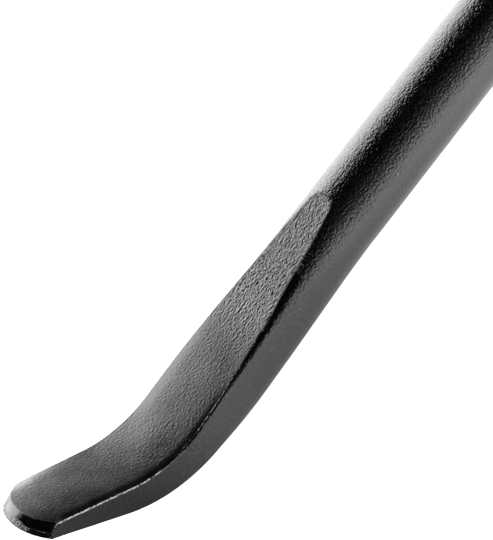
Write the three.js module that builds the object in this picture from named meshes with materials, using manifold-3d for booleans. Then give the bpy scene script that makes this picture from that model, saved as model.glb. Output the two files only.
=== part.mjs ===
// A striking pry bar, built as it is made: one forged round steel bar, whose
// tang runs through a hard handle core to a pinned steel strike cap.
//
// Frame: millimetres. The bar's axis is X. The strike cap's face is at x = 0
// and the blade points to +X. +Z is the way the blade's working face looks,
// so the tip bends up. Y runs across the blade.

import * as THREE from "three";
import { mergeVertices } from "three/addons/utils/BufferGeometryUtils.js";
import Module from "manifold-3d";

// Clearance between pieces that nest in or seat on each other.
const FIT = 0.3;

// The round bar.
const SHANK_DIAMETER = 16;
const SHANK_LENGTH = 329; // shoulder to the start of the forged facet
const SHOULDER_CHAMFER = 0.8;

// The forged end. Lengths run along the bar's neutral line.
const FACET_LENGTH = 51; // facet start to the bend
const FACET_STEP = 0.4; // depth of the hammer mark where the facet starts
const FACET_RUN_IN = 1.8; // length of that mark's round start
const FACE_HEIGHT = 4.0; // working face above the bar's axis, at the bend
const BACK_HEIGHT = 4.5; // back below the bar's axis, at the bend
const BACK_START = 26; // facet start to where the back begins to rise
const BEND_ANGLE = 40; // degrees
const BEND_RADIUS = 30.5; // to the neutral line
const TIP_LENGTH = 21.8; // straight blade after the bend
const BLADE_WIDTH = 16.6; // at the bend
const TIP_WIDTH = 15.7; // at the nose
const TIP_THICKNESS = 3.4;
const NOSE_RISE = 2.9; // how far the nose's arc stands out from its corners
const NOSE_BEVEL = 0.5; // bevel between the working face and the nose
const SIDE_SQUARENESS = 3.6; // 2 is a round side, larger is flatter

// The tang inside the handle.
const TANG_DIAMETER = 12;
const TANG_FLATS = 10; // across its two flats
const TANG_END_CHAMFER = 1;

// The strike cap and its pin.
const CAP_DIAMETER = 31;
const CAP_FACE_DIAMETER = 23;
const CAP_HEAD_LENGTH = 9;
const CAP_FACE_CROWN = 2.4; // length of the bevel round the struck face
const CAP_NECK_DIAMETER = 22;
const CAP_NECK_LENGTH = 13;
const CAP_WEB = 7; // solid steel between the struck face and the tang
const PIN_DIAMETER = 4;
const PIN_WALL = 0.9;
const PIN_SLOT = 50; // degrees left open in the rolled pin

// The handle.
const CORE_FLATS = 32; // across the flats of its six-sided collars
const CORE_CORNER = 6.5; // corner radius of that section
const REAR_COLLAR = 15;
const FRONT_COLLAR = 17;
const GRIP_LENGTH = 128;
const GRIP_WALL = 3.4;
const GRIP_PROUD = 1; // grip surface above the collars
const GRIP_GROOVES = 7;
const GRIP_GROOVE_WIDTH = 3;
const GRIP_GROOVE_DEPTH = 1.1;
const EDGE = 1.4; // rounding at the ends of the collars and the grip
const SPIGOT_DIAMETER = 24;
const FERRULE_LENGTH = 12;
const FERRULE_WALL = 2.2;
const FERRULE_BEAD = 1; // raised band at the ferrule's mouth
const WASHER_DIAMETER = 25;
const WASHER_THICKNESS = 3;

// Facets of the round pieces.
const ROUND = 40;

// Stations along X that follow from the sizes above.
const capLength = CAP_HEAD_LENGTH + CAP_NECK_LENGTH;
const coreStart = capLength + FIT;
const gripStart = coreStart + REAR_COLLAR;
const gripEnd = gripStart + GRIP_LENGTH;
const collarEnd = gripEnd + FRONT_COLLAR;
const coreEnd = collarEnd + FERRULE_LENGTH;
const washerStart = coreEnd + FIT;
const shoulder = washerStart + WASHER_THICKNESS + FIT;
const tangEnd = CAP_WEB + FIT;
const pinX = CAP_HEAD_LENGTH + CAP_NECK_LENGTH / 2;

const wasm = await Module();
wasm.setup();

// A closed geometry as a solid for cutting and joining.
function solid(geometry) {
  const bare = geometry.clone();
  bare.deleteAttribute("normal");
  bare.deleteAttribute("uv");
  const merged = mergeVertices(bare, 1e-4);
  return new wasm.Manifold(
    new wasm.Mesh({
      numProp: 3,
      vertProperties: merged.attributes.position.array,
      triVerts: new Uint32Array(merged.index.array),
    }),
  );
}

// A cut or joined solid back as a geometry for a mesh.
function geometryOf(body) {
  const mesh = body.getMesh();
  const geometry = new THREE.BufferGeometry();
  geometry.setAttribute(
    "position",
    new THREE.BufferAttribute(new Float32Array(mesh.vertProperties), 3),
  );
  geometry.setIndex(new THREE.BufferAttribute(new Uint32Array(mesh.triVerts), 1));
  geometry.computeVertexNormals();
  return geometry;
}

function material(color, roughness, metalness) {
  return new THREE.MeshStandardMaterial({ color, roughness, metalness });
}

// A piece turned about X from [radius, x] points. The points run so that the
// faces look out, and start and end on the axis or close on themselves.
function turned(points) {
  const profile = points.map(([radius, x]) => new THREE.Vector2(radius, x));
  return new THREE.LatheGeometry(profile, ROUND).rotateZ(-Math.PI / 2);
}

// A straight round rod along X, from x = start to x = end.
function rod(radius, start, end) {
  return new THREE.CylinderGeometry(radius, radius, end - start, ROUND)
    .rotateZ(Math.PI / 2)
    .translate((start + end) / 2, 0, 0);
}

// A straight round rod across the bar, along Y, centred on x.
function crossRod(radius, length, x) {
  return new THREE.CylinderGeometry(radius, radius, length, 24).translate(x, 0, 0);
}

// ---------------------------------------------------------------- the bar

const shankRadius = SHANK_DIAMETER / 2;
const faceAngle = THREE.MathUtils.degToRad(BEND_ANGLE);
const neutral = (FACE_HEIGHT - BACK_HEIGHT) / 2;
const bendLength = BEND_RADIUS * faceAngle;
const bladeLength = FACET_LENGTH + bendLength + TIP_LENGTH;

// The cross-section at a distance s past the facet's start: half width, top
// and bottom flats, and how square the sides are.
function section(s) {
  const past = THREE.MathUtils.clamp((s - FACET_LENGTH) / (bladeLength - FACET_LENGTH), 0, 1);
  const along = THREE.MathUtils.clamp(s / FACET_LENGTH, 0, 1);
  const runIn = THREE.MathUtils.clamp(s / FACET_RUN_IN, 0, 1);
  const step = FACET_STEP * Math.sqrt(1 - (1 - runIn) ** 2);
  const drop = shankRadius - FACET_STEP - FACE_HEIGHT;
  let top = shankRadius - step - drop * along;
  let bottom = -THREE.MathUtils.mapLinear(
    THREE.MathUtils.clamp(s, BACK_START, FACET_LENGTH),
    BACK_START,
    FACET_LENGTH,
    shankRadius,
    BACK_HEIGHT,
  );
  if (s > FACET_LENGTH) {
    const thickness = THREE.MathUtils.lerp(FACE_HEIGHT + BACK_HEIGHT, TIP_THICKNESS, past);
    top = neutral + thickness / 2;
    bottom = neutral - thickness / 2;
  }
  const spread = THREE.MathUtils.smoothstep(s, 0, FACET_LENGTH);
  const width = THREE.MathUtils.lerp(SHANK_DIAMETER, BLADE_WIDTH, spread);
  return {
    half: THREE.MathUtils.lerp(width, TIP_WIDTH, past) / 2,
    top,
    bottom,
    power: THREE.MathUtils.lerp(2, SIDE_SQUARENESS, spread),
  };
}

// Half the width of that section at height z.
function sideAt(at, z) {
  const share = Math.min(Math.abs(z) / shankRadius, 1);
  return at.half * (1 - share ** at.power) ** (1 / at.power);
}

// The height of its uncut round at a distance y from the middle.
function heightAt(at, y) {
  const share = Math.min(Math.abs(y) / at.half, 1);
  return shankRadius * (1 - share ** at.power) ** (1 / at.power);
}

// Bends the forged end up about a line across the bar.
function bent(s, y, z) {
  const turn = THREE.MathUtils.clamp((s - FACET_LENGTH) / BEND_RADIUS, 0, faceAngle);
  const rest = Math.max(s - FACET_LENGTH - bendLength, 0);
  const arm = BEND_RADIUS - (z - neutral);
  if (s <= FACET_LENGTH) return new THREE.Vector3(s, y, z);
  return new THREE.Vector3(
    FACET_LENGTH + arm * Math.sin(turn) + rest * Math.cos(turn),
    y,
    neutral + BEND_RADIUS - arm * Math.cos(turn) + rest * Math.sin(turn),
  );
}

// Columns round the section: across the working face, down one side, across
// the back and up the other side.
const FACE_COLUMNS = 6;
const SIDE_COLUMNS = 14;
const COLUMNS = 2 * (FACE_COLUMNS + SIDE_COLUMNS);
const WIDEST_ROUND = 0.966; // share of the radius where an uncut flat would end

// The point of the section for one column.
function sectionPoint(at, column) {
  const topEdge = Math.min(at.top, WIDEST_ROUND * shankRadius);
  const bottomEdge = Math.max(at.bottom, -WIDEST_ROUND * shankRadius);
  const left = column >= COLUMNS / 2;
  let step = column % (COLUMNS / 2);
  const sign = left ? -1 : 1;
  if (step < FACE_COLUMNS) {
    // Across the face to +Y, or across the back to -Y.
    const across = (2 * step) / FACE_COLUMNS - 1;
    const edge = left ? bottomEdge : topEdge;
    const y = sign * across * sideAt(at, edge);
    const z = left ? Math.max(at.bottom, -heightAt(at, y)) : Math.min(at.top, heightAt(at, y));
    return [y, z];
  }
  step -= FACE_COLUMNS;
  const swing = Math.sin((Math.PI / 2) * (1 - (2 * step) / SIDE_COLUMNS)) * sign;
  const z = THREE.MathUtils.mapLinear(swing, -1, 1, bottomEdge, topEdge);
  return [sign * sideAt(at, z), z];
}

// Stations of the forging's rows, measured from the facet's start.
function barStations() {
  const rows = [-SHANK_LENGTH, -SHANK_LENGTH + SHOULDER_CHAMFER, 0];
  for (const share of [0.12, 0.4, 1]) rows.push(FACET_RUN_IN * share);
  const facetRows = 13;
  for (let i = 1; i <= facetRows; i += 1) {
    rows.push(THREE.MathUtils.lerp(FACET_RUN_IN, FACET_LENGTH, i / facetRows));
  }
  const bendRows = 12;
  for (let i = 1; i <= bendRows; i += 1) {
    rows.push(FACET_LENGTH + (bendLength * i) / bendRows);
  }
  const tipRows = 4;
  for (let i = 1; i <= tipRows; i += 1) {
    rows.push(FACET_LENGTH + bendLength + ((TIP_LENGTH + NOSE_RISE) * i) / tipRows);
  }
  return rows;
}

// The shank and the forged blade: a cylinder whose rows and columns are moved
// to the stations and sections above.
function forgedBar() {
  const rows = barStations();
  const blank = new THREE.CylinderGeometry(1, 1, rows.length - 1, COLUMNS, rows.length - 1);
  const position = blank.attributes.position;
  const point = new THREE.Vector3();
  for (let i = 0; i < position.count; i += 1) {
    point.fromBufferAttribute(position, i);
    const row = Math.round(point.y + (rows.length - 1) / 2);
    const s = rows[row];
    const at = section(s);
    let y = 0;
    let z = (at.top + at.bottom) / 2;
    if (Math.hypot(point.x, point.z) > 0.5) {
      const turn = Math.atan2(point.x, point.z) / (2 * Math.PI);
      const column = Math.round((1 - turn) * COLUMNS) % COLUMNS;
      [y, z] = sectionPoint(at, column);
      if (row === 0) {
        y *= 1 - SHOULDER_CHAMFER / shankRadius;
        z *= 1 - SHOULDER_CHAMFER / shankRadius;
      }
    }
    const moved = bent(s, y, z);
    position.setXYZ(i, moved.x + SHANK_LENGTH, moved.y, moved.z);
  }
  return blank;
}

// Everything past the nose's arc, as a tool that cuts the blade's end. It
// stands on the blade's neutral plane at the end of the bend and is tipped
// back by an angle for the bevel.
function noseTool(reach, tip) {
  const half = TIP_WIDTH / 2;
  const radius = (half ** 2 + NOSE_RISE ** 2) / (2 * NOSE_RISE);
  const swing = Math.asin(half / radius);
  const outline = new THREE.Shape();
  outline.moveTo(reach + 30, -half * 2);
  outline.lineTo(reach + 30, half * 2);
  outline.lineTo(reach - NOSE_RISE * 3, half * 2);
  outline.lineTo(reach - NOSE_RISE, half);
  const arcSteps = 14;
  for (let i = 1; i < arcSteps; i += 1) {
    const turn = swing * (1 - (2 * i) / arcSteps);
    outline.lineTo(reach - radius + radius * Math.cos(turn), radius * Math.sin(turn));
  }
  outline.lineTo(reach - NOSE_RISE, -half);
  outline.lineTo(reach - NOSE_RISE * 3, -half * 2);
  const height = 60;
  const tool = new THREE.ExtrudeGeometry(outline, { depth: height, bevelEnabled: false });
  tool.translate(-reach, 0, -height / 2);
  tool.rotateY(tip);
  tool.translate(reach, 0, 0);
  return tool;
}

// The tool above, moved to the blade's own plane.
function onBlade(tool, height) {
  const root = bent(FACET_LENGTH + bendLength, 0, neutral);
  tool.translate(0, 0, height);
  tool.rotateY(-faceAngle);
  tool.translate(root.x + SHANK_LENGTH, 0, root.z);
  return tool;
}

function barSolid() {
  let bar = solid(forgedBar());
  bar = bar.subtract(solid(onBlade(noseTool(TIP_LENGTH, 0), 0)));
  const bevelTool = onBlade(
    noseTool(TIP_LENGTH - NOSE_BEVEL, -Math.PI / 4),
    TIP_THICKNESS / 2,
  );
  bar = bar.subtract(solid(bevelTool));
  const tangLength = shoulder - tangEnd;
  const radius = TANG_DIAMETER / 2;
  const round = turned([
    [0, 0],
    [radius - TANG_END_CHAMFER, 0],
    [radius, TANG_END_CHAMFER],
    [radius, tangLength + 1],
    [0, tangLength + 1],
  ]);
  const flats = new THREE.BoxGeometry(tangLength + 20, TANG_DIAMETER + 4, TANG_FLATS);
  flats.translate(tangLength / 2, 0, 0);
  let tang = solid(round).intersect(solid(flats));
  const hole = crossRod(PIN_DIAMETER / 2 + FIT, TANG_DIAMETER * 2, pinX - tangEnd);
  tang = tang.subtract(solid(hole));
  tang = tang.translate([-tangLength, 0, 0]);
  return bar.add(tang);
}

// -------------------------------------------------------------- the handle

// A six-sided section with round corners, flats facing +Z and -Z, drawn in
// the XY plane with its flats facing +Y and -Y.
function sixSided(acrossFlats, corner) {
  const shape = new THREE.Shape();
  const reach = (acrossFlats / 2 - corner) / Math.cos(Math.PI / 6);
  const cornerSteps = 4;
  for (let side = 0; side < 6; side += 1) {
    const middle = (side * Math.PI) / 3;
    for (let i = 0; i <= cornerSteps; i += 1) {
      const turn = middle + (Math.PI / 3) * (i / cornerSteps - 0.5);
      const x = reach * Math.cos(middle) + corner * Math.cos(turn);
      const y = reach * Math.sin(middle) + corner * Math.sin(turn);
      if (side === 0 && i === 0) shape.moveTo(x, y);
      else shape.lineTo(x, y);
    }
  }
  return shape;
}

// That section run along X from start to end. A drawn section's Y becomes Z.
function bar6(shape, start, end, edge) {
  const rounded = edge > 0;
  const options = { depth: end - start, bevelEnabled: false };
  if (rounded) {
    options.depth -= 2 * edge;
    options.bevelEnabled = true;
    options.bevelThickness = edge;
    options.bevelSize = edge;
    options.bevelOffset = -edge;
    options.bevelSegments = 2;
  }
  const geometry = new THREE.ExtrudeGeometry(shape, options);
  geometry.translate(0, 0, rounded ? edge : 0);
  geometry.rotateY(Math.PI / 2);
  geometry.rotateX(Math.PI / 2);
  geometry.translate(start, 0, 0);
  return geometry;
}

// The tang's passage through the handle, with its flats.
function tangPassage(start, end) {
  const round = solid(rod(TANG_DIAMETER / 2 + FIT, start, end));
  const flats = new THREE.BoxGeometry(end - start + 2, TANG_DIAMETER * 2, TANG_FLATS + 2 * FIT);
  flats.translate((start + end) / 2, 0, 0);
  return round.intersect(solid(flats));
}

const waistFlats = CORE_FLATS + 2 * GRIP_PROUD - 2 * GRIP_WALL - 2 * FIT;
const waistCorner = CORE_CORNER + GRIP_PROUD - GRIP_WALL - FIT;
const coreLength = coreEnd - coreStart;

function coreSolid() {
  const collar = sixSided(CORE_FLATS, CORE_CORNER);
  const rearEnd = gripStart - coreStart;
  const frontStart = gripEnd - coreStart;
  const waist = sixSided(waistFlats, waistCorner);
  let core = solid(bar6(waist, 2, coreLength - FERRULE_LENGTH - 2, 0));
  core = core.add(solid(bar6(collar, 0, rearEnd, EDGE)));
  core = core.add(solid(bar6(collar, frontStart, coreLength - FERRULE_LENGTH, EDGE)));
  core = core.add(solid(rod(SPIGOT_DIAMETER / 2, frontStart + 4, coreLength)));
  return core.subtract(tangPassage(-5, coreLength + 5));
}

function gripSolid() {
  const outerFlats = CORE_FLATS + 2 * GRIP_PROUD;
  const outerCorner = CORE_CORNER + GRIP_PROUD;
  const length = GRIP_LENGTH - 2 * FIT;
  let grip = solid(bar6(sixSided(outerFlats, outerCorner), 0, length, EDGE));
  const pitch = length / (GRIP_GROOVES + 1);
  const ringOuter = sixSided(outerFlats + 4, outerCorner + 2);
  const ringInner = sixSided(
    outerFlats - 2 * GRIP_GROOVE_DEPTH,
    outerCorner - GRIP_GROOVE_DEPTH,
  );
  ringOuter.holes.push(ringInner);
  for (let i = 1; i <= GRIP_GROOVES; i += 1) {
    const start = i * pitch - GRIP_GROOVE_WIDTH / 2;
    grip = grip.subtract(solid(bar6(ringOuter, start, start + GRIP_GROOVE_WIDTH, 0)));
  }
  const inside = sixSided(waistFlats + 2 * FIT, waistCorner + FIT);
  return grip.subtract(solid(bar6(inside, -5, length + 5, 0)));
}

function ferruleGeometry() {
  const inner = SPIGOT_DIAMETER / 2 + FIT;
  const outer = inner + FERRULE_WALL;
  const length = FERRULE_LENGTH - FIT;
  const band = FERRULE_BEAD * 2.5;
  return turned([
    [inner, 0],
    [outer + FERRULE_BEAD - 0.4, 0],
    [outer + FERRULE_BEAD, 0.4],
    [outer + FERRULE_BEAD, band],
    [outer, band + FERRULE_BEAD],
    [outer, length - 1],
    [outer - 1, length],
    [inner, length],
    [inner, 0],
  ]);
}

function washerGeometry() {
  const inner = TANG_DIAMETER / 2 + FIT;
  const outer = WASHER_DIAMETER / 2;
  return turned([
    [inner, 0],
    [outer - 0.5, 0],
    [outer, 0.5],
    [outer, WASHER_THICKNESS - 0.5],
    [outer - 0.5, WASHER_THICKNESS],
    [inner, WASHER_THICKNESS],
    [inner, 0],
  ]);
}

// ------------------------------------------------------- the cap and its pin

function capSolid() {
  const face = CAP_FACE_DIAMETER / 2;
  const head = CAP_DIAMETER / 2;
  const neck = CAP_NECK_DIAMETER / 2;
  const bore = TANG_DIAMETER / 2 + FIT;
  const cap = turned([
    [0, 0],
    [face, 0],
    [head - 0.8, CAP_FACE_CROWN * 0.6],
    [head, CAP_FACE_CROWN],
    [head, CAP_HEAD_LENGTH - 2.5],
    [head - 0.6, CAP_HEAD_LENGTH - 1.6],
    [neck + 1.2, CAP_HEAD_LENGTH],
    [neck, CAP_HEAD_LENGTH + 1.2],
    [neck, capLength - 0.6],
    [neck - 0.6, capLength],
    [bore, capLength],
    [bore, CAP_WEB],
    [0, CAP_WEB],
  ]);
  const hole = crossRod(PIN_DIAMETER / 2 + FIT, CAP_DIAMETER * 2, pinX);
  return solid(cap).subtract(solid(hole));
}

// A rolled spring pin: a C-shaped strip run across the cap's neck.
function pinGeometry() {
  const outer = PIN_DIAMETER / 2;
  const inner = outer - PIN_WALL;
  const open = THREE.MathUtils.degToRad(PIN_SLOT / 2);
  const ring = new THREE.Shape();
  const steps = 18;
  for (let i = 0; i <= steps; i += 1) {
    const turn = THREE.MathUtils.lerp(open, 2 * Math.PI - open, i / steps);
    if (i === 0) ring.moveTo(outer * Math.cos(turn), outer * Math.sin(turn));
    else ring.lineTo(outer * Math.cos(turn), outer * Math.sin(turn));
  }
  for (let i = steps; i >= 0; i -= 1) {
    const turn = THREE.MathUtils.lerp(open, 2 * Math.PI - open, i / steps);
    ring.lineTo(inner * Math.cos(turn), inner * Math.sin(turn));
  }
  const length = CAP_NECK_DIAMETER - 2 * FIT;
  const pin = new THREE.ExtrudeGeometry(ring, { depth: length, bevelEnabled: false });
  return pin.translate(0, 0, -length / 2).rotateX(Math.PI / 2);
}

// ------------------------------------------------------------ the assembly

function piece(name, geometry, look, x) {
  const mesh = new THREE.Mesh(geometry, look);
  mesh.name = name;
  mesh.position.x = x;
  return mesh;
}

const blackSteel = material(0x17181a, 0.42, 0.55);
const brightSteel = material(0x8d9094, 0.35, 1);
const zincSteel = material(0x9a9da0, 0.4, 1);
const hardPlastic = material(0x1b1c1e, 0.5, 0);
const softGrip = material(0x0f1011, 0.85, 0);

const handle = new THREE.Group();
handle.add(piece("handle_core", geometryOf(coreSolid()), hardPlastic, coreStart));
handle.add(piece("grip_sleeve", geometryOf(gripSolid()), softGrip, gripStart + FIT));
handle.add(piece("front_ferrule", ferruleGeometry(), zincSteel, collarEnd + FIT));
handle.add(piece("thrust_washer", washerGeometry(), zincSteel, washerStart));

const strikeEnd = new THREE.Group();
strikeEnd.add(piece("strike_cap", geometryOf(capSolid()), brightSteel, 0));
strikeEnd.add(piece("cap_pin", pinGeometry(), zincSteel, pinX));

const group = new THREE.Group();
group.add(piece("pry_bar", geometryOf(barSolid()), blackSteel, shoulder));
group.add(handle);
group.add(strikeEnd);

export default group;
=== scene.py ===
import math

import bmesh
import bpy
from mathutils import Matrix, Vector, noise


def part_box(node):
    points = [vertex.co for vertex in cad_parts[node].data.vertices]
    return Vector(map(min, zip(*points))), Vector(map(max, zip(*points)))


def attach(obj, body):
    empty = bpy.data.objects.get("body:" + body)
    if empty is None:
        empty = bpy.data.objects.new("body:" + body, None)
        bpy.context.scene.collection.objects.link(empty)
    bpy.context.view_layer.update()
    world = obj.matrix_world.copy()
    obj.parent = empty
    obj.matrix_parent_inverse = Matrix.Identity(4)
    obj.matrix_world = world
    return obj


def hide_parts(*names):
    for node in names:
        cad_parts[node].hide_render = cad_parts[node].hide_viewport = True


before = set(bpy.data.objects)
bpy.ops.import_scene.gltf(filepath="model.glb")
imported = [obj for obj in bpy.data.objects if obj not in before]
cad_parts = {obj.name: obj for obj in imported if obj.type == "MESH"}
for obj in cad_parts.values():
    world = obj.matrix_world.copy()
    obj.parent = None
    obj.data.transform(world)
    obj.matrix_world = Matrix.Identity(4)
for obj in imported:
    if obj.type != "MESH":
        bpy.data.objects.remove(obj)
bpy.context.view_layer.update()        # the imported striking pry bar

MM = 0.001

# ---------------------------------------------------------------- sizes (mm)
# The frame says where each piece starts and ends. The forging's own sizes,
# which a box can't give, are repeated here.


def span(node):
    """Where a piece starts and ends along the bar, in millimetres."""
    low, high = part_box(node)
    return low.x / MM, high.x / MM


def radius_of(node):
    """How far a piece reaches from the bar's axis, in millimetres, upwards."""
    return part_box(node)[1].z / MM


FIT = 0.3             # the gap between two pieces
TANG_END = span("pry_bar")[0]
SHOULDER = span("thrust_washer")[1] + FIT
SHANK_R = -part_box("pry_bar")[0].z / MM

FACET_LENGTH = 51.0
FACET_STEP = 0.4
FACET_RUN_IN = 2.4
FACE_HEIGHT = 4.0
BACK_HEIGHT = 4.5
BACK_START = 26.0
BEND_ANGLE = math.radians(40)
BEND_RADIUS = 30.5
TIP_LENGTH = 21.8
BLADE_WIDTH = 16.6
TIP_WIDTH = 15.7
TIP_THICKNESS = 3.4
NOSE_RISE = 2.9
ROUND = 2             # the squareness of a round side
SIDE_SQUARENESS = 3.6
SHOULDER_SQUARENESS = 12.0   # of the tight rounding above the +Y side
FACE_SHARE = 0.935    # how much of the half width the flat takes on that side
CROWN = 0.26          # how far the bent face falls away towards its +Y edge
EDGE_ROLL = 0.14      # and how much more it does close to that edge
FAR_ROLL = 0.15       # how far it rolls away close to its -Y edge
TIP_DROOP = 0.3       # wear of the face towards the nose
TIP_DROOP_LENGTH = 9.0
HAMMERED_LENGTH = 17.0   # of the facet, before the hammer marks fade
SHANK_LENGTH = 329.0

# The nose's ground bevel across the blade, from -Y to +Y: place across, how
# far back it starts on the face, how deep it goes.
NOSE_BEVEL = (
    (-8.0, 2.4, 2.6), (-4.5, 1.35, 1.7), (-2.2, 1.15, 1.15), (0.0, 1.0, 0.95),
    (1.6, 0.9, 0.95), (2.4, 0.85, 1.7), (4.5, 0.7, 1.75), (8.0, 1.3, 1.75),
)

NEUTRAL = (FACE_HEIGHT - BACK_HEIGHT) / 2
BEND_LENGTH = BEND_RADIUS * BEND_ANGLE
TIP_START = FACET_LENGTH + BEND_LENGTH
BLADE_LENGTH = TIP_START + TIP_LENGTH
FACET_START = SHOULDER + SHANK_LENGTH

TANG_R = 6.0
TANG_HALF_FLATS = 5.0
PIN_X = sum(span("cap_pin")) / 2
PIN_HOLE_R = 2.3

GRIP_WALL = 3.4
TANG_PASSAGE_R = 6.3  # in the handle, the washer and the cap
TANG_PASSAGE_FLATS = 10.6


def clamp(value, low=0.0, high=1.0):
    return max(low, min(high, value))


def lerp(a, b, share):
    return a + (b - a) * share


def smooth(share):
    share = clamp(share)
    return share * share * (3 - 2 * share)


def eased(at, start, length):
    """0 up to the start, then rising softly to 1 over the length."""
    return smooth((at - start) / length)


# ---------------------------------------------------------------- mesh tools

def new_piece(name, bm, material, stands_for, sharp=40):
    """A finished bmesh as a piece of the tool."""
    bmesh.ops.remove_doubles(bm, verts=bm.verts, dist=1e-7)
    bmesh.ops.recalc_face_normals(bm, faces=bm.faces)
    mesh = bpy.data.meshes.new(name)
    bm.to_mesh(mesh)
    bm.free()
    mesh.shade_smooth()
    mesh.set_sharp_from_angle(angle=math.radians(sharp))
    mesh.materials.append(material)
    piece = bpy.data.objects.new(name, mesh)
    bpy.context.collection.objects.link(piece)
    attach(piece, "root")
    for node in stands_for:
        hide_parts(node)
    return piece


def round_edges(bm, width, segments=3, angle=25):
    """Breaks every edge sharper than the angle."""
    bm.normal_update()
    edges = [e for e in bm.edges
             if len(e.link_faces) == 2 and e.calc_face_angle(0) > math.radians(angle)]
    bmesh.ops.bevel(bm, geom=edges, offset=width * MM, offset_type="OFFSET",
                    segments=segments, profile=0.5, affect="EDGES", material=-1,
                    clamp_overlap=True)


def turned(profile, steps=120):
    """A piece turned on the lathe, from (x, radius) points in millimetres.
    Closed profiles repeat their first point at the end."""
    bm = bmesh.new()
    closed = profile[0] == profile[-1]
    points = profile[:-1] if closed else profile
    verts = [bm.verts.new((x * MM, 0, r * MM)) for x, r in points]
    edges = [bm.edges.new(pair) for pair in zip(verts, verts[1:])]
    if closed:
        edges.append(bm.edges.new((verts[-1], verts[0])))
    bmesh.ops.spin(bm, geom=verts + edges, cent=(0, 0, 0), axis=(1, 0, 0),
                   angle=math.tau, steps=steps, use_merge=True, dvec=(0, 0, 0),
                   use_duplicate=False)
    bmesh.ops.remove_doubles(bm, verts=bm.verts, dist=1e-6)
    bmesh.ops.recalc_face_normals(bm, faces=bm.faces)
    return bm


def cut_with_rod(piece, radius, length, x):
    """Drills a cross hole along Y, and merges the slivers at its rim."""
    bm = bmesh.new()
    bmesh.ops.create_cone(bm, cap_ends=True, segments=48, radius1=radius * MM,
                          radius2=radius * MM, depth=length * MM)
    bmesh.ops.rotate(bm, verts=bm.verts, matrix=Matrix.Rotation(math.pi / 2, 3, "X"))
    bmesh.ops.translate(bm, verts=bm.verts, vec=(x * MM, 0, 0))
    drill_mesh = bpy.data.meshes.new("drill")
    bm.to_mesh(drill_mesh)
    bm.free()
    drill = bpy.data.objects.new("drill", drill_mesh)
    bpy.context.collection.objects.link(drill)
    cut = piece.modifiers.new("hole", "BOOLEAN")
    cut.operation = "DIFFERENCE"
    cut.solver = "EXACT"
    cut.object = drill
    bpy.context.view_layer.update()
    graph = bpy.context.evaluated_depsgraph_get()
    done = bpy.data.meshes.new_from_object(piece.evaluated_get(graph))
    bm = bmesh.new()
    bm.from_mesh(done)
    hole = [v for v in bm.verts if abs(v.co.x / MM - x) < radius + 0.5]
    bmesh.ops.remove_doubles(bm, verts=hole, dist=0.01 * MM)
    bm.to_mesh(done)
    bm.free()
    piece.modifiers.clear()
    old = piece.data
    piece.data = done
    done.name = piece.name
    bpy.data.meshes.remove(old)
    bpy.data.objects.remove(drill)
    bpy.data.meshes.remove(drill_mesh)
    return piece


# ----------------------------------------------------------------- materials

def start_material(name):
    material = bpy.data.materials.new(name)
    material.use_nodes = True
    nodes = material.node_tree.nodes
    links = material.node_tree.links
    shader = nodes["Principled BSDF"]
    place = nodes.new("ShaderNodeTexCoord").outputs["Object"]
    return material, nodes, links, shader, place


def grain(nodes, links, place, scale, detail=4.0, rough=0.55, stretch=(1, 1, 1), distort=0.0):
    """A noise pattern; the scale is in patches per metre."""
    turn = nodes.new("ShaderNodeMapping")
    turn.inputs["Scale"].default_value = stretch
    links.new(place, turn.inputs["Vector"])
    node = nodes.new("ShaderNodeTexNoise")
    node.inputs["Scale"].default_value = scale
    node.inputs["Detail"].default_value = detail
    node.inputs["Roughness"].default_value = rough
    node.inputs["Distortion"].default_value = distort
    links.new(turn.outputs["Vector"], node.inputs["Vector"])
    return node.outputs["Fac"]


def ramp(nodes, links, value, low, high, dark=0.0, light=1.0):
    """Spreads the part of a pattern between low and high over dark to light."""
    node = nodes.new("ShaderNodeMapRange")
    node.inputs["From Min"].default_value = low
    node.inputs["From Max"].default_value = high
    node.inputs["To Min"].default_value = dark
    node.inputs["To Max"].default_value = light
    links.new(value, node.inputs["Value"])
    return node.outputs["Result"]


def maths(nodes, links, kind, a, b):
    node = nodes.new("ShaderNodeMath")
    node.operation = kind
    for socket, value in zip(node.inputs, (a, b)):
        if isinstance(value, (int, float)):
            socket.default_value = value
        else:
            links.new(value, socket)
    return node.outputs["Value"]


def mix_values(nodes, links, share, a, b):
    node = nodes.new("ShaderNodeMix")
    for number, value in ((0, share), (2, a), (3, b)):
        if isinstance(value, (int, float)):
            node.inputs[number].default_value = value
        else:
            links.new(value, node.inputs[number])
    return node.outputs[0]


def blend_colour(nodes, links, share, a, b):
    node = nodes.new("ShaderNodeMix")
    node.data_type = "RGBA"
    links.new(share, node.inputs["Factor"])
    for socket, value in ((node.inputs[6], a), (node.inputs[7], b)):
        if isinstance(value, tuple):
            socket.default_value = (*value, 1)
        else:
            links.new(value, socket)
    return node.outputs[2]


def relief(nodes, links, height, depth, below=None):
    """Height in the pattern's 0 to 1, as a bump that many millimetres deep."""
    node = nodes.new("ShaderNodeBump")
    node.inputs["Strength"].default_value = 1.0
    node.inputs["Distance"].default_value = depth * MM
    links.new(height, node.inputs["Height"])
    if below is not None:
        links.new(below, node.inputs["Normal"])
    return node.outputs["Normal"]


def painted(nodes, name):
    """A value painted on the piece's own points."""
    node = nodes.new("ShaderNodeAttribute")
    node.attribute_name = name
    return node.outputs["Fac"]


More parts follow.
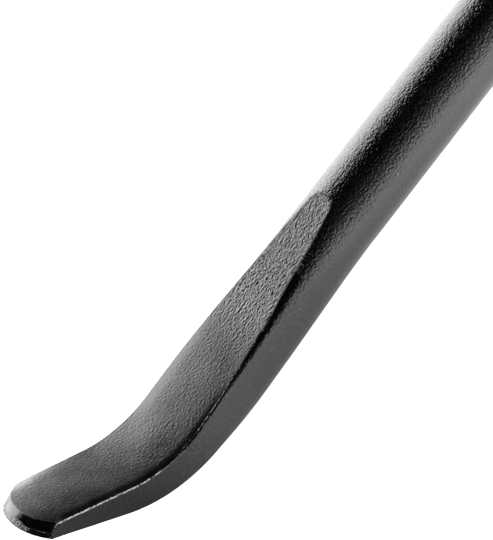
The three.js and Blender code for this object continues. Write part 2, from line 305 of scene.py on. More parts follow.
def black_forged_steel():
    material, nodes, links, shader, place = start_material("black_forged_steel")
    hammered = painted(nodes, "hammered")
    worn = painted(nodes, "worn")
    peeled = painted(nodes, "peeled")

    # Black finish: nearly black, a little greyer where scale shows through.
    patches = grain(nodes, links, place, 90, 5, 0.6)
    fine = grain(nodes, links, place, 1500, 3, 0.6)
    black = blend_colour(nodes, links, ramp(nodes, links, patches, 0.35, 0.7),
                         (0.0008, 0.0008, 0.0008), (0.002, 0.002, 0.002))
    scaled = blend_colour(nodes, links, ramp(nodes, links, fine, 0.3, 0.75),
                          (0.003, 0.003, 0.003), (0.02, 0.02, 0.02))
    skin = blend_colour(nodes, links, hammered, black, scaled)

    # Bare steel shows in a speckled line where an edge has rubbed. A scatter of
    # pale specks is painted into the coat's colour as painted glints.
    specks = grain(nodes, links, place, 1900, 3, 0.7)
    rubbed = maths(nodes, links, "MULTIPLY", worn, ramp(nodes, links, specks, 0.38, 0.6))
    bare = ramp(nodes, links, rubbed, 0.3, 0.5)
    # painted glints: small pale dots laid into the base colour in place of sparkles of reflected
    # light
    painted_glint_cells = nodes.new("ShaderNodeTexVoronoi")
    painted_glint_cells.inputs["Scale"].default_value = 520
    links.new(place, painted_glint_cells.inputs["Vector"])
    pick = nodes.new("ShaderNodeSeparateColor")
    links.new(painted_glint_cells.outputs["Color"], pick.inputs["Color"])
    painted_glints = maths(nodes, links, "MULTIPLY",
                  ramp(nodes, links, painted_glint_cells.outputs["Distance"], 0.05, 0.09, 1.0, 0.0),
                  ramp(nodes, links, pick.outputs["Red"], 0.8, 0.81))
    skin = blend_colour(nodes, links, painted_glints, skin, (0.16, 0.16, 0.16))
    links.new(blend_colour(nodes, links, bare, skin, (0.5, 0.5, 0.5)),
              shader.inputs["Base Color"])
    links.new(maths(nodes, links, "MULTIPLY", bare, 0.5), shader.inputs["Metallic"])
    shader.inputs["IOR"].default_value = 1.62

    # Satin where it is only coated, duller where it was hammered or rubbed.
    sheen = ramp(nodes, links, grain(nodes, links, place, 240, 4, 0.6), 0.3, 0.7, 0.15, 0.23)
    dull = ramp(nodes, links, fine, 0.3, 0.7, 0.15, 0.2)
    rough = mix_values(nodes, links, hammered, sheen, dull)
    links.new(mix_values(nodes, links, bare, rough, 0.5), shader.inputs["Roughness"])

    # Orange peel all over, and a tight crinkle with pits where the hammer fell.
    peel = grain(nodes, links, place, 2200, 2, 0.5, stretch=(0.8, 1, 1))
    crinkle = grain(nodes, links, place, 2100, 2, 0.5, stretch=(0.7, 1, 1), distort=0.3)
    peel = maths(nodes, links, "MULTIPLY", peel, peeled)
    pits = nodes.new("ShaderNodeTexVoronoi")
    pits.inputs["Scale"].default_value = 1500
    links.new(place, pits.inputs["Vector"])
    pitted = ramp(nodes, links, pits.outputs["Distance"], 0.1, 0.4)
    crinkle = maths(nodes, links, "MULTIPLY", crinkle, hammered)
    pitted = maths(nodes, links, "MULTIPLY", pitted, hammered)
    normal = relief(nodes, links, peel, 0.2)
    normal = relief(nodes, links, crinkle, 0.58, normal)
    normal = relief(nodes, links, pitted, 0.05, normal)
    links.new(normal, shader.inputs["Normal"])
    return material


def zinc_steel():
    material, nodes, links, shader, place = start_material("zinc_steel")
    cloud = grain(nodes, links, place, 160, 5, 0.6)
    turning = grain(nodes, links, place, 900, 2, 0.5, stretch=(6, 0.4, 0.4))
    links.new(blend_colour(nodes, links, ramp(nodes, links, cloud, 0.3, 0.7),
                           (0.15, 0.155, 0.16), (0.26, 0.265, 0.27)),
              shader.inputs["Base Color"])
    shader.inputs["Metallic"].default_value = 1.0
    links.new(ramp(nodes, links, cloud, 0.3, 0.7, 0.24, 0.4), shader.inputs["Roughness"])
    links.new(relief(nodes, links, turning, 0.012), shader.inputs["Normal"])
    return material


def cap_steel():
    material, nodes, links, shader, place = start_material("cap_steel")
    cloud = grain(nodes, links, place, 120, 5, 0.65)
    turning = grain(nodes, links, place, 1400, 2, 0.5, stretch=(5, 0.25, 0.25))
    dents = grain(nodes, links, place, 330, 2, 0.4)
    links.new(blend_colour(nodes, links, ramp(nodes, links, cloud, 0.3, 0.72),
                           (0.1, 0.1, 0.103), (0.2, 0.2, 0.204)),
              shader.inputs["Base Color"])
    shader.inputs["Metallic"].default_value = 1.0
    links.new(ramp(nodes, links, cloud, 0.3, 0.7, 0.26, 0.45), shader.inputs["Roughness"])
    normal = relief(nodes, links, turning, 0.012)
    normal = relief(nodes, links, ramp(nodes, links, dents, 0.35, 0.5), 0.05, normal)
    links.new(normal, shader.inputs["Normal"])
    return material


def hard_plastic():
    material, nodes, links, shader, place = start_material("hard_plastic")
    spark = grain(nodes, links, place, 2600, 3, 0.6)
    cloud = grain(nodes, links, place, 60, 3, 0.5)
    links.new(blend_colour(nodes, links, ramp(nodes, links, cloud, 0.3, 0.7),
                           (0.016, 0.0163, 0.017), (0.023, 0.0235, 0.0245)),
              shader.inputs["Base Color"])
    links.new(ramp(nodes, links, spark, 0.3, 0.7, 0.4, 0.52), shader.inputs["Roughness"])
    links.new(relief(nodes, links, spark, 0.03), shader.inputs["Normal"])
    return material


def soft_grip():
    material, nodes, links, shader, place = start_material("soft_grip")
    cells = nodes.new("ShaderNodeTexVoronoi")
    cells.feature = "SMOOTH_F1"
    cells.inputs["Scale"].default_value = 900
    links.new(place, cells.inputs["Vector"])
    cloud = grain(nodes, links, place, 70, 4, 0.6)
    links.new(blend_colour(nodes, links, ramp(nodes, links, cloud, 0.3, 0.7),
                           (0.011, 0.011, 0.0115), (0.019, 0.019, 0.0198)),
              shader.inputs["Base Color"])
    links.new(ramp(nodes, links, cloud, 0.3, 0.7, 0.62, 0.78), shader.inputs["Roughness"])
    shader.inputs["Specular IOR Level"].default_value = 0.4
    links.new(relief(nodes, links, cells.outputs["Distance"], 0.12), shader.inputs["Normal"])
    return material


# ------------------------------------------------------------------ the bar

FACE_COLUMNS = 60
SIDE_COLUMNS = 26
COLUMNS = 2 * (FACE_COLUMNS + SIDE_COLUMNS)
UNCUT = 0.966     # share of the radius at which an uncut flat would end

FIRST_BLADE_ROW = -0.2
ROW_PITCH = 0.31
NOSE_ZONE = 3.0         # finer rows, this far back from the nose
NOSE_ROW_PITCH = 0.125


def blade_section(s):
    """The forging's section at s past the facet's start, in millimetres: half
    width, top flat, bottom flat, squareness of the sides below the middle, then
    above it on the -Y and the +Y side, each with the height at which that side
    would close if the flat weren't there."""
    past = clamp((s - FACET_LENGTH) / (BLADE_LENGTH - FACET_LENGTH))
    along = clamp(s / FACET_LENGTH)
    run_in = clamp(s / FACET_RUN_IN)
    step = FACET_STEP * (1 - (1 - run_in) ** 2)
    top = SHANK_R - step - (SHANK_R - FACET_STEP - FACE_HEIGHT) * along
    rise = clamp((s - BACK_START) / (FACET_LENGTH - BACK_START))
    bottom = -lerp(SHANK_R, BACK_HEIGHT, rise)
    if s > FACET_LENGTH:
        thickness = lerp(FACE_HEIGHT + BACK_HEIGHT, TIP_THICKNESS, past)
        top = NEUTRAL + thickness / 2
        bottom = NEUTRAL - thickness / 2
    spread = smooth(s / FACET_LENGTH)
    width = lerp(2 * SHANK_R, BLADE_WIDTH, spread)
    half = lerp(width, TIP_WIDTH, past) / 2
    above = lerp(ROUND, SIDE_SQUARENESS, eased(s, 14, 54))
    far = near = (above, SHANK_R)
    if s > 0:
        edge = min((1 - (top / SHANK_R) ** above) ** (1 / above), FACE_SHARE)
        tight = lerp(ROUND, 7, eased(s, 0, 42)) + (SHOULDER_SQUARENESS - 7) * eased(s, 20, 24)
        near = (tight, top / (1 - edge ** tight) ** (1 / tight))
    return half, top, bottom, lerp(ROUND, SIDE_SQUARENESS, spread), far, near


TANG_SECTION = (TANG_R, TANG_HALF_FLATS, -TANG_HALF_FLATS, ROUND,
                (ROUND, TANG_R), (ROUND, TANG_R))


def side_at(section, z, full, side):
    """How far out the +Y or the -Y side is at height z."""
    power, closed = section[4 if side < 0 else 5] if z > 0 else (section[3], full)
    share = min(abs(z) / closed, 1)
    return section[0] * (1 - share ** power) ** (1 / power)


def height_at(section, y, full, under):
    """How high, or how low, the rounding reaches at y across."""
    power, closed = (section[3], full) if under else section[4 if y < 0 else 5]
    share = min(abs(y) / section[0], 1)
    return closed * (1 - share ** power) ** (1 / power)


def face_fall(s, y, half):
    """How far the working face falls away from flat towards its edges."""
    across = clamp(y / half, -1, 1)
    lean = 1 if across > 0 else 0.5
    crown = lerp(0.06, CROWN, eased(s, 32, 26)) * eased(s, 0, 8) * across ** 2 * lean
    crown *= lerp(1, 0.35, eased(s, 64, 14))
    edge_roll = EDGE_ROLL * eased(s, 38, 16) * eased(across, 0.72, 0.28) ** 2
    far_roll = FAR_ROLL * eased(s, 2, 10) * clamp((-across - 0.58) / 0.42) ** 2
    far_roll *= 1 - eased(s, 50, 12)
    return crown + edge_roll + far_roll


def table(points, at, item):
    """A value between the points of a small table."""
    for (a, *low), (b, *high) in zip(points, points[1:]):
        if at <= b:
            return lerp(low[item], high[item], clamp((at - a) / (b - a)))
    return points[-1][1 + item]


def nose_fall(behind, y):
    """How far the face has gone down at a distance behind the nose's arc."""
    droop = TIP_DROOP * clamp(1 - behind / TIP_DROOP_LENGTH) ** 1.3
    run, drop = table(NOSE_BEVEL, y, 0), table(NOSE_BEVEL, y, 1)
    return droop + drop * clamp(1 - behind / run)


def section_point(section, column, full):
    """One column's place in a section: across the face, down the +Y side,
    back across the underside and up the -Y side."""
    _, top, bottom, _, far, near = section
    top_edge = min(top, UNCUT * near[1])
    bottom_edge = max(bottom, -UNCUT * full)
    under = column >= COLUMNS // 2
    step = column % (COLUMNS // 2)
    sign = -1 if under else 1
    if step < FACE_COLUMNS:
        edge = bottom_edge if under else top_edge
        ends = [side_at(section, edge, full, side) for side in (-sign, sign)]
        y = sign * lerp(-ends[0], ends[1], step / FACE_COLUMNS)
        round_z = height_at(section, y, full, under)
        return y, max(bottom, -round_z) if under else min(top, round_z)
    step -= FACE_COLUMNS
    swing = math.sin(math.pi / 2 * (1 - 2 * step / SIDE_COLUMNS)) * sign
    z = lerp(bottom_edge, top_edge, (swing + 1) / 2)
    return sign * side_at(section, z, full, sign), z


def bent(s, y, z):
    """A point of the straight blank after the blade is bent up, in millimetres
    from the facet's start."""
    if s <= FACET_LENGTH:
        return Vector((s, y, z))
    turn = clamp((s - FACET_LENGTH) / BEND_RADIUS, 0, BEND_ANGLE)
    rest = max(s - TIP_START, 0)
    arm = BEND_RADIUS - (z - NEUTRAL)
    return Vector((
        FACET_LENGTH + arm * math.sin(turn) + rest * math.cos(turn),
        y,
        NEUTRAL + BEND_RADIUS - arm * math.cos(turn) + rest * math.sin(turn),
    ))


def nose_back(y):
    """How far the nose's arc falls back at y across. Its -Y corner is rounded
    off more."""
    half = TIP_WIDTH / 2
    radius = (half ** 2 + NOSE_RISE ** 2) / (2 * NOSE_RISE)
    arc = radius - math.sqrt(max(radius ** 2 - y ** 2, 0))
    return arc + 1.1 * clamp((-y - 5.6) / 2.25) ** 2


def bar_stations():
    """Rows of the bar: (kind, x from the facet's start, share of full size).
    They are close together on the blade, and closest at the nose."""
    tang = TANG_END - FACET_START
    neck = SHOULDER - FACET_START
    rows = [("tang", tang, 5 / 6), ("tang", tang + 1, 1), ("tang", tang + 1.5, 1)]
    rows += [("tang", lerp(tang + 1.5, neck, i / 12), 1) for i in range(1, 13)]
    rows += [("shank", neck, 0.9), ("shank", neck + 0.25, 0.935),
             ("shank", neck + 0.8, 1), ("shank", neck + 1.2, 1)]
    rows += [("shank", lerp(neck + 1.2, -3, i / 40), 1) for i in range(1, 41)]
    rows += [("shank", -3 + 0.5 * i, 1) for i in range(1, 6)]
    nose = BLADE_LENGTH - NOSE_ZONE
    count = round(nose / ROW_PITCH)
    rows += [("shank", lerp(FIRST_BLADE_ROW, nose, i / count), 1) for i in range(count + 1)]
    rows += [("shank", nose + i * NOSE_ROW_PITCH, 1)
             for i in range(1, round(NOSE_ZONE / NOSE_ROW_PITCH) + 1)]
    return rows


def blank_bar(rows):
    """A straight tube of the right number of rows and columns, its tang end
    closed with one face and its nose end open."""
    bm = bmesh.new()
    column = bm.verts.layers.int.new("column")
    row = bm.verts.layers.int.new("row")
    bmesh.ops.create_circle(bm, segments=COLUMNS, radius=1,
                            matrix=Matrix.Rotation(math.pi / 2, 4, "Y"))
    bm.verts.ensure_lookup_table()
    for i, vert in enumerate(bm.verts):
        vert[column] = i
    ring = list(bm.edges)
    bmesh.ops.edgeloop_fill(bm, edges=ring)
    for number in range(1, len(rows)):
        made = bmesh.ops.extrude_edge_only(bm, edges=ring)["geom"]
        ring = [e for e in made if isinstance(e, bmesh.types.BMEdge)
                and all(v in made for v in e.verts)]
        verts = [v for v in made if isinstance(v, bmesh.types.BMVert)]
        for vert in verts:
            vert[row] = number
        bmesh.ops.translate(bm, verts=verts, vec=(1, 0, 0))
    return bm, column, row, ring


def worked_point(section, s, y, z):
    """Where a point of the forged section is once the face has fallen away, the
    nose is ground and the blade is bent, from the facet's start."""
    half, top = section[:2]
    if s > 0:
        z = min(z, top - face_fall(s, y, half))
    if s > TIP_START:
        z = min(z, top - nose_fall(BLADE_LENGTH - s, y))
        s -= nose_back(y) * clamp((s - TIP_START) / (TIP_LENGTH - NOSE_ZONE))
    return bent(s, y, z)


def skin_at(top, s, y, z, in_face_columns):
    """How much a point of the blade is hammered, rubbed bare at an edge, and
    left with orange peel."""
    on_face = smooth((z - top + 0.25) / 0.2) * in_face_columns
    below_edge = top - z
    hammered = on_face * lerp(1, 0.03, eased(s, HAMMERED_LENGTH, 20)) * eased(s, 0, 0.5)
    rubbed = eased(s, FACET_LENGTH + BEND_LENGTH * 0.3, 12)
    rubbed = max(rubbed, 0.36 * eased(s, 40, 10))
    worn = (1.0 if y > 0 else 0.35) * rubbed * smooth(1.35 - abs(below_edge - 0.4) / 0.26)
    side_peel = lerp(1, 1.9, eased(s, 0, 30)) * lerp(1, 0.6, eased(s, 52, 12))
    if s > 16:
        side_peel *= lerp(0.25, 1, eased(below_edge, 0.25, 0.5))
    face_peel = lerp(1, 0.18, eased(s, HAMMERED_LENGTH, 18)) - 0.06 * eased(s, 60, 8)
    return hammered, worn, lerp(side_peel, face_peel, on_face)


def close_nose(bm, ring, column):
    """Fills the nose with a grid between its face's and its underside's edges."""
    across = [e for e in ring if all(v[column] % (COLUMNS // 2) <= FACE_COLUMNS for v in e.verts)
              and abs(e.verts[0].co.y - e.verts[1].co.y) > 1e-5]
    bmesh.ops.grid_fill(bm, edges=across, use_smooth=True)
    bmesh.ops.recalc_face_normals(bm, faces=bm.faces)


def near_crease(vert, s, column):
    """Close to an edge of the face, clear of the facet's start and the nose."""
    step = vert[column] % (COLUMNS // 2)
    columns_away = min(step, abs(step - FACE_COLUMNS), COLUMNS // 2 - step)
    return vert.co.z > 0 and columns_away < 4 and 4 < s < BLADE_LENGTH - 1.5


def forge_bar(material):
    rows = bar_stations()
    bm, column, row, ring = blank_bar(rows)
    hammered = bm.verts.layers.float.new("hammered")
    worn = bm.verts.layers.float.new("worn")
    peeled = bm.verts.layers.float.new("peeled")
    for vert in bm.verts:
        kind, s, size = rows[vert[row]]
        if kind == "tang":
            section, full = TANG_SECTION, TANG_R
        else:
            section, full = blade_section(s), SHANK_R
        y, z = section_point(section, vert[column], full)
        y, z = y * size, z * size
        vert.co = (worked_point(section, s, y, z) + Vector((FACET_START, 0, 0))) * MM
        vert[peeled] = 1
        if s > 0:
            skin = skin_at(section[1], s, y, z, vert[column] <= FACE_COLUMNS)
            vert[hammered], vert[worn], vert[peeled] = skin
    close_nose(bm, ring, column)
    blade_start = next(i for i, (_, s, _) in enumerate(rows) if s >= FIRST_BLADE_ROW)
    blade = [v for v in bm.verts if v[row] >= blade_start]
    creases = [v for v in blade if near_crease(v, rows[v[row]][1], column)]
    for group in (blade, creases):
        bmesh.ops.smooth_vert(bm, verts=group, factor=0.5, use_axis_x=True,
                              use_axis_y=True, use_axis_z=True)
    hammer_surface(bm, blade, hammered, worn)
    bar = new_piece("forged_bar", bm, material, ["pry_bar"], sharp=36)
    return cut_with_rod(bar, PIN_HOLE_R, 30, PIN_X)


def hammer_surface(bm, verts, hammered, worn):
    """Sinks the hammer's marks into the facet, a slight unevenness into the
    rest of the blade, and small nicks into the rubbed edges."""
    bm.normal_update()
    moves = []
    for vert in verts:
        place = vert.co / MM
        chatter = noise.turbulence(place * 1.5 + Vector((3, 7, 1)), 2, False,
                                   noise_basis="PERLIN_ORIGINAL")
        pits = max(0.0, noise.noise(place * 1.45 + Vector((11, 2, 5))) - 0.15)
        swell = noise.noise(place * 0.16 + Vector((5, 1, 9)))
        nicks = max(0.0, noise.noise(place * 2.2 + Vector((2, 8, 4))) - 0.1)
        depth = vert[hammered] * (0.035 * chatter + 0.12 * pits)
        depth += 0.03 * (swell + 0.5)
        depth += 0.25 * vert[worn] * nicks
        moves.append(-depth * MM)
    for vert, move in zip(verts, moves):
        vert.co += vert.normal * move


# --------------------------------------------------------------- the handle

def six_sided_ring(flats, corner):
    """A ring of edges in the YZ plane, flats up and down, corners rounded."""
    bm = bmesh.new()
    reach = flats / 2 / math.cos(math.pi / 6)
    bmesh.ops.create_circle(bm, cap_ends=True, segments=6, radius=reach * MM,
                            matrix=Matrix.Rotation(math.pi / 2, 4, "Y"))
    top = max(v.co.z for v in bm.verts)
    if top > flats / 2 * MM * 1.01:
        bmesh.ops.rotate(bm, verts=bm.verts, matrix=Matrix.Rotation(math.pi / 6, 3, "X"))
    bmesh.ops.bevel(bm, geom=bm.verts[:], offset=corner * MM * math.tan(math.pi / 6),
                    offset_type="OFFSET", segments=10, profile=0.5,
                    affect="VERTICES", material=-1)
    bmesh.ops.delete(bm, geom=bm.faces[:], context="FACES_ONLY")
    return bm


def loft(bm, stations, flats):
    """Runs a ring along X through (x, distance in from the outer flats), and
    returns its first and last rings."""
    ring = list(bm.edges)
    verts = list(bm.verts)
    first_ring = ring
    size = 1.0
    at = 0.0
    for number, (x, inset) in enumerate(stations):
        if number:
            made = bmesh.ops.extrude_edge_only(bm, edges=ring)["geom"]
            verts = [v for v in made if isinstance(v, bmesh.types.BMVert)]
            fresh = set(verts)
            ring = [e for e in made if isinstance(e, bmesh.types.BMEdge)
                    and all(v in fresh for v in e.verts)]
        want = (flats / 2 - inset) / (flats / 2)
        bmesh.ops.scale(bm, verts=verts, vec=(1, want / size, want / size))
        bmesh.ops.translate(bm, verts=verts, vec=((x - at) * MM, 0, 0))
        size, at = want, x
    return first_ring, ring


def fillet(x, inset, radius, start, steps=4, towards=1):
    """Stations round a quarter circle, from its start angle in degrees."""
    points = []
    for i in range(steps + 1):
        turn = math.radians(start + towards * 90 * i / steps)
        points.append((x + radius * math.cos(turn), inset - radius * math.sin(turn)))
    return points


def grip_stations(start, end, inner, count, groove, depth, edge):
    """The grip's outline along the handle: rounded ends, and cross grooves with
    soft lips."""
    points = [(start, inner)] + fillet(start + edge, edge, edge, 180, 5, -1)
    pitch = (end - start) / (count + 1)
    lip = 0.55
    for i in range(1, count + 1):
        middle = start + i * pitch
        left, right = middle - groove / 2, middle + groove / 2
        points += fillet(left - lip, lip, lip, 90, 3, -1)
        points += [(left + 0.1, depth - 0.35), (left + 0.45, depth)]
        points += [(right - 0.45, depth), (right - 0.1, depth - 0.35)]
        points += fillet(right + lip, lip, lip, 180, 3, -1)
    points += fillet(end - edge, edge, edge, 90, 5, -1) + [(end, inner)]
    return points


def soft_sleeve(material):
    start, end = span("grip_sleeve")
    flats = 2 * radius_of("grip_sleeve")
    bm = six_sided_ring(flats, 7.5)
    outline = grip_stations(start, end, GRIP_WALL, count=7, groove=3.0, depth=1.1, edge=1.4)
    first, last = loft(bm, outline, flats)
    bmesh.ops.bridge_loops(bm, edges=first + last)
    return new_piece("soft_grip_sleeve", bm, material, ["grip_sleeve"], 50)


def collar_stations(start, end, edge, low_start, low_end):
    """A collar's outline along the handle, with rounded ends."""
    points = [(start, low_start)] + fillet(start + edge, edge, edge, 180, 5, -1)
    points += fillet(end - edge, edge, edge, 90, 5, -1) + [(end, low_end)]
    return points


def to_round(verts, radius, flats=None):
    """Pulls a ring to a circle, with a flat above and below if asked."""
    for vert in verts:
        turn = math.atan2(vert.co.z, vert.co.y)
        y, z = radius * math.cos(turn), radius * math.sin(turn)
        if flats:
            z = clamp(z, -flats / 2, flats / 2)
        vert.co.y, vert.co.z = y * MM, z * MM


def next_ring(bm, ring, x):
    made = bmesh.ops.extrude_edge_only(bm, edges=ring)["geom"]
    verts = [v for v in made if isinstance(v, bmesh.types.BMVert)]
    fresh = set(verts)
    for vert in verts:
        vert.co.x = x * MM
    ring = [e for e in made if isinstance(e, bmesh.types.BMEdge)
            and all(v in fresh for v in e.verts)]
    return ring, verts


def handle_core(material):
    start, end = span("handle_core")
    grip_start, grip_end = span("grip_sleeve")
    flats = 2 * radius_of("handle_core")
    waist = 3.7           # in from the collars' flats, clear of the sleeve
    collar_end = span("front_ferrule")[0] - FIT
    bm = six_sided_ring(flats, 6.5)
    rear = collar_stations(start, grip_start - FIT, 1.4, 5, waist - 1)
    front = collar_stations(grip_end + FIT, collar_end, 1.4, waist - 1, 4)
    first, ring = loft(bm, rear + front, flats)
    for x, radius in ((collar_end, 12.0), (end - 0.4, 12.0), (end, 11.6)):
        ring, verts = next_ring(bm, ring, x)
        to_round(verts, radius)
    for x in (end, start):
        ring, verts = next_ring(bm, ring, x)
        to_round(verts, TANG_PASSAGE_R, TANG_PASSAGE_FLATS)
    bmesh.ops.bridge_loops(bm, edges=first + ring)
    return new_piece("hard_handle_core", bm, material, ["handle_core"], 50)


def ferrule(material):
    start, end = span("front_ferrule")
    outer = radius_of("front_ferrule")
    inner = 12.3
    wall_r = outer - 1.0
    bm = turned([(start, inner), (start, outer), (start + 2.5, outer),
                 (start + 3.5, wall_r), (end, wall_r), (end, inner), (start, inner)])
    round_edges(bm, 0.35)
    return new_piece("steel_front_ferrule", bm, material, ["front_ferrule"])


def washer(material):
    start, end = span("thrust_washer")
    outer = radius_of("thrust_washer")
    inner = TANG_PASSAGE_R
    bm = turned([(start, inner), (start, outer), (end, outer), (end, inner), (start, inner)])
    round_edges(bm, 0.5)
    return new_piece("steel_thrust_washer", bm, material, ["thrust_washer"])


def strike_cap(material):
    start, end = span("strike_cap")
    outer = radius_of("strike_cap")
    neck = 11.0           # radius
    bore = TANG_PASSAGE_R
    web = 7.0             # where the bore ends
    head = 9.0            # where the head ends
    bm = turned([(start, 0), (start, 11.5), (start + 1.44, outer - 0.8),
                 (start + 2.4, outer), (head - 2.5, outer), (head - 1.6, outer - 0.6),
                 (head, neck + 1.2), (head + 1.2, neck), (end - 0.6, neck),
                 (end, neck - 0.6), (end, bore), (web, bore), (web, 0)], 144)
    round_edges(bm, 0.3, 3, 14)
    cap = new_piece("steel_strike_cap", bm, material, ["strike_cap"])
    return cut_with_rod(cap, PIN_HOLE_R, 60, PIN_X)


def rolled_pin(material):
    """A strip rolled to a C and driven across the cap's neck."""
    low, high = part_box("cap_pin")
    length = (high.y - low.y) / MM
    outer = 2.0
    wall = 0.9
    open_half = math.radians(25)
    bm = bmesh.new()
    inner_end = bm.verts.new(((outer - wall) * MM, -length / 2 * MM, 0))
    outer_end = bm.verts.new((outer * MM, -length / 2 * MM, 0))
    edge = bm.edges.new((inner_end, outer_end))
    bmesh.ops.rotate(bm, verts=bm.verts, cent=(0, 0, 0),
                     matrix=Matrix.Rotation(open_half, 3, "Y"))
    bmesh.ops.spin(bm, geom=[inner_end, outer_end, edge], cent=(0, 0, 0),
                   axis=(0, 1, 0), angle=math.tau - 2 * open_half, steps=40,
                   use_merge=False, dvec=(0, 0, 0), use_duplicate=False)
    strip = bmesh.ops.extrude_face_region(bm, geom=bm.faces[:])["geom"]
    bmesh.ops.translate(bm, verts=[v for v in strip if isinstance(v, bmesh.types.BMVert)],
                        vec=(0, length * MM, 0))
    bmesh.ops.recalc_face_normals(bm, faces=bm.faces)
    round_edges(bm, 0.15, 2, 60)
    bmesh.ops.translate(bm, verts=bm.verts, vec=(PIN_X * MM, 0, 0))
    return new_piece("rolled_cap_pin", bm, material, ["cap_pin"])


steel_black = black_forged_steel()
steel_zinc = zinc_steel()
forge_bar(steel_black)
soft_sleeve(soft_grip())
handle_core(hard_plastic())
ferrule(steel_zinc)
washer(steel_zinc)
strike_cap(cap_steel())
rolled_pin(steel_zinc)

# ---------------------------------------------------------------- the studio


def pale_floor():
    """A pale floor that glows evenly to look at. What it gives the tool is
    brighter towards the back softbox and under the shank than past the blade."""
    material, nodes, links, shader, spot = start_material("pale_floor")
    shader.inputs["Base Color"].default_value = (0.8, 0.8, 0.8, 1)
    shader.inputs["Roughness"].default_value = 0.9
    shader.inputs["Specular IOR Level"].default_value = 0.1
    shader.inputs["Emission Color"].default_value = (1, 1, 1, 1)
    place = nodes.new("ShaderNodeSeparateXYZ")
    links.new(spot, place.inputs[0])
    x, y = place.outputs["X"], place.outputs["Y"]
    along = ramp(nodes, links, x, (FACET_START - 40) * MM, (FACET_START + 20) * MM, 2.8, 1.36)
    past = ramp(nodes, links, x, (FACET_START + 47) * MM, (FACET_START + 70) * MM, 1.0, 0.05)
    shaded = ramp(nodes, links, y, 0.004, 0.03, 0.4, 1.0)
    lengthwise = maths(nodes, links, "MULTIPLY", maths(nodes, links, "MULTIPLY", along, past), shaded)
    behind = maths(nodes, links, "MULTIPLY",
                   ramp(nodes, links, y, -0.06, 0.0, 2.1, 0.0),
                   ramp(nodes, links, y, -0.5, -0.15, 0.35, 1.0))
    given = maths(nodes, links, "ADD", lengthwise, behind)
    seen = nodes.new("ShaderNodeLightPath").outputs["Is Camera Ray"]
    links.new(mix_values(nodes, links, seen, given, 1.2), shader.inputs["Emission Strength"])
    return material


def lay_floor():
    """The floor, tipped a little so that it touches both the grip and the
    blade's heel, as the tool lies."""
    grip_front = span("grip_sleeve")[1] - 1.4
    grip_low = -radius_of("grip_sleeve")
    heel = FACET_START + BACK_START
    tip = math.atan2(-SHANK_R - grip_low, heel - grip_front)
    bm = bmesh.new()
    bmesh.ops.create_grid(bm, x_segments=2, y_segments=2, size=20)
    bmesh.ops.rotate(bm, verts=bm.verts, matrix=Matrix.Rotation(-tip, 3, "Y"))
    bmesh.ops.translate(bm, verts=bm.verts,
                        vec=(grip_front * MM, 0, (grip_low - 0.02) * MM))
    mesh = bpy.data.meshes.new("floor")
    bm.to_mesh(mesh)
    bm.free()
    mesh.materials.append(pale_floor())
    floor = bpy.data.objects.new("floor", mesh)
    bpy.context.collection.objects.link(floor)


def soft_panel(name, aim, side, low, high, left, right, away, radiance):
    """An upright soft panel beyond the tool, on the +Y or -Y side: its lower and
    upper edges and its ends in degrees as seen from the aim point."""
    z0, z1 = (away * math.tan(math.radians(v)) for v in (low, high))
    x0, x1 = (away * math.tan(math.radians(v)) for v in (left, right))
    data = bpy.data.lights.new(name, "AREA")
    data.shape = "RECTANGLE"
    data.size, data.size_y = x1 - x0, z1 - z0
    data.energy = radiance * (x1 - x0) * (z1 - z0) * math.pi
    light = bpy.data.objects.new(name, data)
    light.location = Vector(aim) + Vector(((x0 + x1) / 2, side * away, (z0 + z1) / 2))
    light.rotation_euler = (math.pi / 2, 0, math.pi if side > 0 else 0)
    light.visible_camera = False
    bpy.context.collection.objects.link(light)


def round_softbox(name, aim, across, up, away, rings):
    """A round soft light beyond the tool, on the -Y side, fading at its rim: the
    place of its middle from the aim point, then (radius, radiance) of each
    disc, laid one over the other."""
    for number, (radius, radiance) in enumerate(rings):
        data = bpy.data.lights.new(f"{name}_{number}", "AREA")
        data.shape = "DISK"
        data.size = 2 * radius
        data.energy = radiance * math.pi * radius ** 2 * math.pi
        light = bpy.data.objects.new(f"{name}_{number}", data)
        light.location = Vector(aim) + Vector((across, -away - 0.01 * number, up))
        light.rotation_euler = (math.pi / 2, 0, 0)
        light.visible_camera = False
        bpy.context.collection.objects.link(light)


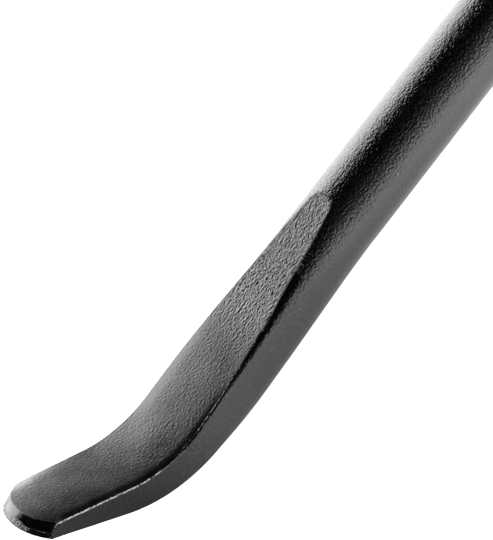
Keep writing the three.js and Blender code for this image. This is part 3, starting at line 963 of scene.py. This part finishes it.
def fill_world():
    world = bpy.data.worlds.new("studio")
    bpy.context.scene.world = world
    world.use_nodes = True
    nodes, links = world.node_tree.nodes, world.node_tree.links
    dim = nodes["Background"]
    dim.inputs["Color"].default_value = (1, 1, 1, 1)
    dim.inputs["Strength"].default_value = 0.008
    pale = nodes.new("ShaderNodeBackground")
    pale.inputs["Color"].default_value = (1, 1, 1, 1)
    pale.inputs["Strength"].default_value = 1.0
    path = nodes.new("ShaderNodeLightPath")
    mix = nodes.new("ShaderNodeMixShader")
    links.new(path.outputs["Is Camera Ray"], mix.inputs["Fac"])
    links.new(dim.outputs["Background"], mix.inputs[1])
    links.new(pale.outputs["Background"], mix.inputs[2])
    links.new(mix.outputs["Shader"], nodes["World Output"].inputs["Surface"])


def set_camera():
    """Looks down at the blade from the +Y side, turned so that the bar runs
    from the upper right to the lower left."""
    azimuth, elevation, roll = (math.radians(v) for v in (169.14, 48.0, -44.03))
    aim = Vector((FACET_START + 21.66, 0, 12.31)) * MM
    back = Vector((math.sin(azimuth) * math.cos(elevation),
                   -math.cos(azimuth) * math.cos(elevation), math.sin(elevation)))
    data = bpy.data.cameras.new("camera")
    data.lens = 306.7
    data.sensor_width = 36
    data.clip_start, data.clip_end = 0.01, 60
    camera = bpy.data.objects.new("camera", data)
    turn = (-back).to_track_quat("-Z", "Y") @ Matrix.Rotation(roll, 3, "Z").to_quaternion()
    camera.rotation_euler = turn.to_euler()
    camera.location = aim + back * 0.8881
    bpy.context.collection.objects.link(camera)
    bpy.context.scene.camera = camera


lay_floor()
blade_at = Vector((FACET_START + 40, 0, 0)) * MM
round_softbox("back_softbox", blade_at, -0.02, 0.25, 1.2,
              ((1.02, 3.5), (1.12, 1.2), (1.22, 0.7), (1.34, 0.25), (1.5, 0.25)))
soft_panel("front_card", blade_at, 1, 0, 16.7, -60, 60, 1.2, 2.6)
soft_panel("front_fill", blade_at, 1, 16.7, 51, -60, 60, 1.2, 0.32)
fill_world()
set_camera()
bpy.context.scene.view_settings.view_transform = "Standard"
